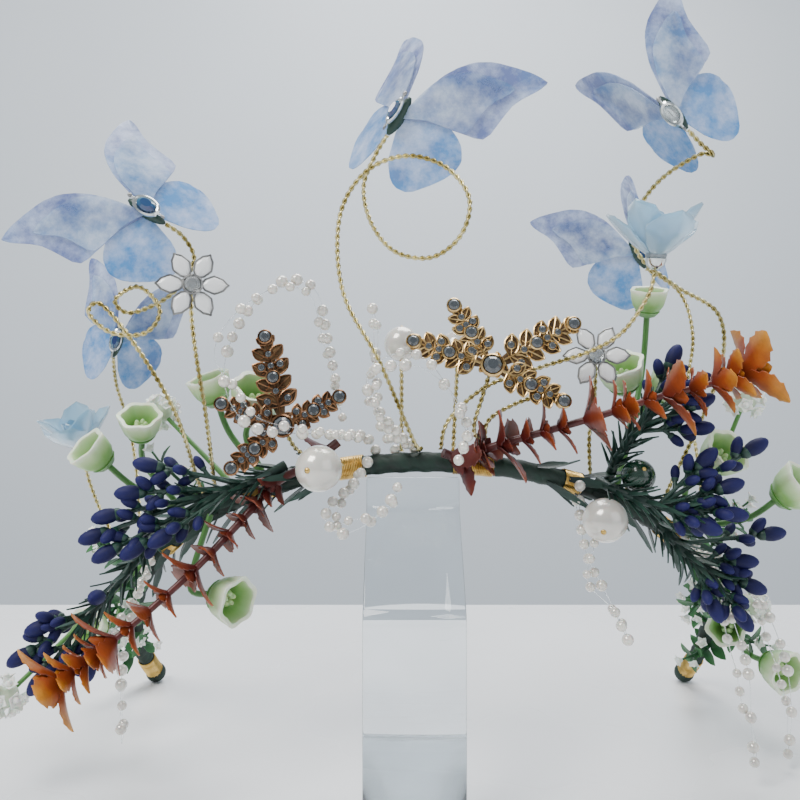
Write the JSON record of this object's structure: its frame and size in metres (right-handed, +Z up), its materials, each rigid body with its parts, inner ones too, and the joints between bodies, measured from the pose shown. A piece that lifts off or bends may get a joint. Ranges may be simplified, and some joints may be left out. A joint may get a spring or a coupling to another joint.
{
  "type": "flower tiara on a clear display stand",
  "caption": "Open horseshoe headpiece of leaf sprigs, berries, pearls and sheer butterflies on coiled wires, resting on a bent clear display stand.",
  "frame": {"origin": "middle of the display stand's underside, on the table", "axes": "+Z up, -Y towards the viewer (the front of the tiara), +X to the viewer's right"},
  "size_m": [0.2372, 0.1236, 0.2155],
  "materials": {
    "clear_acrylic": "clear, polished",
    "green_tape": "matt tape",
    "gilt_wire": "twisted pale gold wire",
    "copper_leaf": "moulded, burgundy to orange",
    "navy_berry": "frosted buds on dark green stems",
    "blue_organza": "sheer, cloudy blue",
    "jewel_metal": "bright setting with a cut stone",
    "pale_glass": "clear pale blue",
    "white_enamel": "white enamel with dark metal rims",
    "antique_gold": "worn gold with dark stones",
    "pearl_white": "pearl lustre",
    "berry_green": "glossy",
    "cup_green": "green to white",
    "white_filler": "matt white buds",
    "small_pearl": "pearl lustre"
  },
  "bodies": {
    "root": {"clear_stand": "clear_acrylic", "taped_hoop": "green_tape", "butterfly_centre_wire": "gilt_wire", "butterfly_left_front_wire": "gilt_wire", "butterfly_right_front_wire": "gilt_wire", "butterfly_left_back_wire": "gilt_wire", "butterfly_right_back_wire": "gilt_wire", "glass_flower_right_wire": "gilt_wire", "glass_flower_left_wire": "gilt_wire", "white_flower_left_wire": "gilt_wire", "white_flower_right_wire": "gilt_wire", "leaf_ornament_left_wire": "gilt_wire", "leaf_ornament_right_wire": "gilt_wire", "copper_sprig_left": "copper_leaf", "copper_sprig_right": "copper_leaf", "berry_spray_left_upper": "navy_berry", "berry_spray_left_lower": "navy_berry", "berry_spray_right_upper": "navy_berry", "berry_spray_right_middle": "navy_berry", "berry_spray_right_lower": "navy_berry", "butterfly_centre_wings": "blue_organza", "butterfly_left_front_wings": "blue_organza", "butterfly_right_front_wings": "blue_organza", "butterfly_left_back_wings": "blue_organza", "butterfly_right_back_wings": "blue_organza", "butterfly_centre_body": "jewel_metal", "butterfly_left_front_body": "jewel_metal", "butterfly_right_front_body": "jewel_metal", "butterfly_left_back_body": "jewel_metal", "butterfly_right_back_body": "jewel_metal", "glass_flower_right": "pale_glass", "glass_flower_left": "pale_glass", "white_flower_left": "white_enamel", "white_flower_right": "white_enamel", "leaf_ornament_left": "antique_gold", "leaf_ornament_right": "antique_gold", "pearl_left": "pearl_white", "pearl_back_left": "pearl_white", "pearl_back_right": "pearl_white", "pearl_right": "pearl_white", "green_berry": "berry_green", "cup_spray_left_upper": "cup_green", "cup_spray_left_inner": "cup_green", "cup_spray_left_low": "cup_green", "cup_spray_left_back": "cup_green", "cup_spray_right_upper": "cup_green", "cup_spray_right_outer": "cup_green", "cup_spray_right_back": "cup_green", "white_filler_right": "white_filler", "white_filler_left_low": "white_filler", "white_filler_left_back": "white_filler", "white_filler_right_low": "white_filler", "bead_string_left_loop": "small_pearl", "bead_string_rise": "small_pearl", "bead_string_right_loop": "small_pearl", "bead_string_low_loop": "small_pearl", "bead_string_right_inner": "small_pearl", "bead_string_right_front": "small_pearl", "bead_string_right_outer": "small_pearl", "bead_string_left_low": "small_pearl"}
  },
  "joints": []
}
